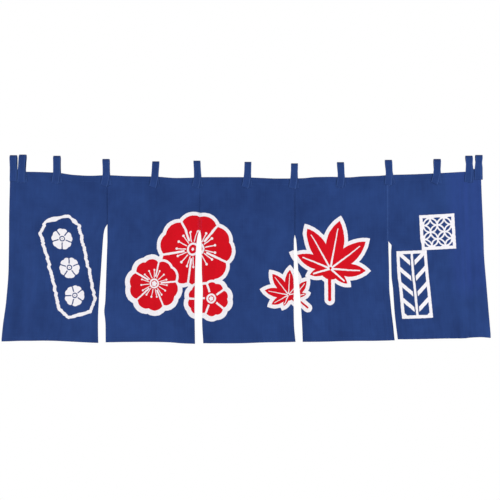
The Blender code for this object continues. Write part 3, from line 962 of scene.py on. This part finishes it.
class Strip:
    """A loop's strip of tape: where its middle runs, which way it lies across, and which way is out."""

    def __init__(self, loop):
        self.loop = loop
        self.eye_z = loop.top - EYE_TOP
        self.heading_z = heading(loop.neck)
        self.neck_z = self.heading_z + NECK_RISE
        self.lean = math.asin((EYE_RADIUS - LEAF_Y) / (self.eye_z - self.neck_z))
        self.leaf_length = self.eye_z - self.heading_z + loop.lap
        self.stations = self.leaf(-1, loop.front_end) + self.over() + self.leaf(1, loop.rear_end)[::-1]
        self.distances = [0.0]
        for before, after in zip(self.stations, self.stations[1:]):
            self.distances.append(self.distances[-1] + (after[0] - before[0]).length)
        self.length = self.distances[-1]

    def station(self, y, z, out, side, end_shift):
        """The strip at a height on one leaf, whose lower part is splayed to the side; side is -1 in front."""
        share = max(0.0, (self.eye_z - z) / self.leaf_length)
        rise = min(1.0, max(0.0, (z - self.neck_z) / (self.loop.top - self.neck_z)))
        middle = self.loop.neck + (self.loop.x - self.loop.neck) * rise + side * self.loop.spread * (1 - rise)
        middle += end_shift * share**SPLAY_POWER
        slope = end_shift * SPLAY_POWER * share ** (SPLAY_POWER - 1) / self.leaf_length
        pressed = 1 - ease((z - self.heading_z + self.loop.lap) / PRESSED_LENGTH)
        y += pressed * (PRESS_FRONT if side < 0 else PRESS_REAR)
        return Vector((middle, y, z)), Vector((1.0, 0.0, slope)).normalized(), out, 1 - rise, pressed

    def leaf(self, side, end_shift):
        """One leaf from its sewn end up to where it meets the pole; side is -1 in front and 1 behind."""
        tangent_y = side * EYE_RADIUS * math.cos(self.lean)
        tangent = Vector((tangent_y, self.eye_z - EYE_RADIUS * math.sin(self.lean)))
        lap_end = Vector((side * LEAF_Y, self.heading_z - self.loop.lap))
        neck = Vector((side * LEAF_Y, self.neck_z))
        places = even(0.0, 1.0, LAP_STEPS)
        path = [lap_end.lerp(neck, share) for share in places]
        out = [Vector((0.0, side, 0.0))] * LAP_STEPS
        leg_out = Vector((0.0, side * math.cos(self.lean), -math.sin(self.lean)))
        path += [neck.lerp(tangent, step / LEG_STEPS) for step in range(LEG_STEPS)]
        out += [leg_out] * LEG_STEPS
        return [self.station(place.x, place.y, way, side, end_shift) for place, way in zip(path, out)]

    def over(self):
        """The half turn and a little more over the pole."""
        arc = math.pi + 2 * self.lean
        turns = [math.pi + self.lean - arc * step / EYE_STEPS for step in range(EYE_STEPS + 1)]
        stations = []
        for turned_by in turns:
            out = Vector((0.0, math.cos(turned_by), math.sin(turned_by)))
            y = EYE_RADIUS * math.cos(turned_by)
            z = self.eye_z + EYE_RADIUS * math.sin(turned_by)
            stations.append(self.station(y, z, out, math.cos(turned_by) / math.cos(self.lean), 0.0))
        return stations

    def point(self, station, across, out):
        """A point of the strip at a station, a distance across from its middle and out from its mid-layer."""
        middle, sideways, outward, hung, pressed = self.stations[station]
        place = middle + sideways * across + outward * out * (1 - PRESS_THINNER * pressed)
        place.y += bow(place.x, self.heading_z - place.z) * hung
        return place

    def along(self, distance, across, out):
        """A point of the strip a distance along it from the front leaf's sewn end."""
        after = min(max(bisect.bisect_right(self.distances, distance), 1), len(self.distances) - 1)
        before = after - 1
        share = (distance - self.distances[before]) / (self.distances[after] - self.distances[before])
        return self.point(before, across, out).lerp(self.point(after, across, out), share)


def strip_section():
    """The closed section of the folded strip, all the way round: (distance across, distance out)."""
    half = [(share, height) for share, height in SECTION]
    top = half + [(1 - share, height) for share, height in half[-2::-1]]
    outer = [((share - 0.5) * TAPE_WIDTH, height * TAPE_THICKNESS / 2) for share, height in top]
    return outer + [(across, -out) for across, out in outer[-2::-1]]


# A strip's painted highlights along its stitched edges: where they begin, as a share of its width from its
# middle, and how far they show
EDGE_HIGHLIGHT_FROM = 0.36
EDGE_HIGHLIGHT_MOST = 0.45


def tape_material(name):
    """The same dyed cotton as the panels, with painted highlights that make its stitched edges a little
    paler.
    """
    material = cloth_material(name)
    tree = material.node_tree
    surface = tree.nodes["Principled BSDF"]
    colour = Shade(surface.inputs["Base Color"].links[0].from_socket)
    place = Shade(tree.nodes.new("ShaderNodeUVMap").outputs[0])
    place.socket.node.uv_map = "cloth"
    u = place.node("SeparateXYZ", inputs={0: place}, output=0)
    # Painted highlight: the strip's stitched edges are painted paler, as if they caught the light
    from_edge = abs((u / TAPE_WIDTH).math("FRACT") - 0.5)
    edge_highlight = ((from_edge - EDGE_HIGHLIGHT_FROM) * 9.0).clamped() * EDGE_HIGHLIGHT_MOST
    pale = mix(edge_highlight, colour, BLUE_PAINTED_HIGHLIGHT)
    tree.links.new(pale.socket, surface.inputs["Base Color"])
    return material


# Each strip is cut from another place of the dyed cloth, and its edges are a little frayed
CUT_APART = 0.2
FRAY = 0.0002
FRAY_LENGTH = 0.012

loop_thread = bmesh.new()
section = strip_section()
tape_cloth = tape_material("tape_cloth")
for number, loop in enumerate(LOOPS, start=1):
    strip = Strip(loop)
    ring = list(range(len(section)))
    stations = list(range(len(strip.stations)))
    tube, places = flat_grid(ring, stations)
    cloth_map = tube.loops.layers.uv["cloth"]
    around = [0.0]
    for before, after in zip(section, section[1:]):
        around.append(around[-1] + math.dist(before, after))
    for face in tube.faces:
        for corner in face.loops:
            k, s = places[corner.vert]
            corner[cloth_map].uv = (around[k] + number * CUT_APART, strip.distances[s])
    for vert, (k, s) in places.items():
        across, out = section[k]
        frayed = FRAY * wave_at(strip.distances[s] + number, across, FRAY_LENGTH)
        vert.co = strip.point(s, across + frayed, out)
    bmesh.ops.remove_doubles(tube, verts=tube.verts, dist=0.00001)
    bmesh.ops.holes_fill(tube, edges=[edge for edge in tube.edges if edge.is_boundary], sides=0)
    bmesh.ops.recalc_face_normals(tube, faces=tube.faces)
    label = f"loop_{number:02d}"
    tape = add_piece(f"{label}_tape", tube, (tape_cloth,))
    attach(tape, "root")
    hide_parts(label)
    row_length = strip.length - 2 * EDGE_ROW_START
    for across in (-EDGE_STITCH_IN, EDGE_STITCH_IN):
        for out in (-STITCH_OUT, STITCH_OUT):
            stitch_row(loop_thread, bead, lambda d: strip.along(EDGE_ROW_START + d, across, out), row_length)
    row_length = 2 * EDGE_STITCH_IN
    for out, end in ((STITCH_OUT, 0.0), (-STITCH_OUT, strip.length)):
        for from_end in (LOWER_ROW, loop.lap - UPPER_ROW):
            at = abs(end - from_end)
            stitch_row(loop_thread, bead, lambda d: strip.along(at, d - EDGE_STITCH_IN, out), row_length)
stitched = add_piece("loop_stitches", loop_thread, (blue_thread,))
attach(stitched, "root")

# The studio: a pale floor well below the curtain, soft light from all round, a soft box on each side in front
# and a weaker one behind, and a camera straight in front at the height of the cloth's middle. To the
# camera alone, the room is plain white.
CAMERA_AT = Vector((0.0146, -4.25, -0.3064))
ROOM_LIGHT = 0.45
LAMPS_AIM_AT = Vector((0.0, 0.0, -0.3))
FLOOR_SIZE = 6.0
FLOOR_AT = (0.0, -3.0, -2.0)
studio = bmesh.new()
bmesh.ops.create_grid(studio, x_segments=1, y_segments=1, size=FLOOR_SIZE)
bmesh.ops.translate(studio, verts=studio.verts, vec=FLOOR_AT)
floor_paint = bpy.data.materials.new("floor_paint")
floor_paint.use_nodes = True
floor_surface = floor_paint.node_tree.nodes["Principled BSDF"]
floor_surface.inputs["Base Color"].default_value = (0.80, 0.80, 0.79, 1.0)
floor_surface.inputs["Roughness"].default_value = 0.85
floor = add_piece("floor", studio, (floor_paint,))

world = bpy.data.worlds.new("studio")
bpy.context.scene.world = world
world.use_nodes = True
sky = world.node_tree.nodes["Background"]
sky.inputs["Color"].default_value = (1.0, 1.0, 1.0, 1.0)
seen = Shade(world.node_tree.nodes.new("ShaderNodeLightPath").outputs["Is Camera Ray"])
strength = ROOM_LIGHT + seen * (1.0 - ROOM_LIGHT)
world.node_tree.links.new(strength.socket, sky.inputs["Strength"])
bpy.context.scene.view_settings.view_transform = "Standard"

for name, place, size, power in (
    ("soft_box_left", (-3.6, -2.0, -0.1), 1.2, 104.0),
    ("soft_box_right", (2.9, -2.2, 0.0), 1.4, 88.0),
    ("soft_box_behind", (1.8, 3.6, 1.0), 1.6, 60.0),
):
    light = bpy.data.lights.new(name, "AREA")
    light.shape = "SQUARE"
    light.size = size
    light.energy = power
    lamp = bpy.data.objects.new(name, light)
    lamp.location = place
    lamp.rotation_euler = (LAMPS_AIM_AT - Vector(place)).to_track_quat("-Z", "Y").to_euler()
    bpy.context.scene.collection.objects.link(lamp)

lens = bpy.data.cameras.new("camera")
lens.lens = 85.0
lens.sensor_width = 36.0
camera = bpy.data.objects.new("camera", lens)
camera.location = CAMERA_AT
camera.rotation_euler = (math.pi / 2, 0.0, 0.0)
bpy.context.scene.collection.objects.link(camera)
bpy.context.scene.camera = camera
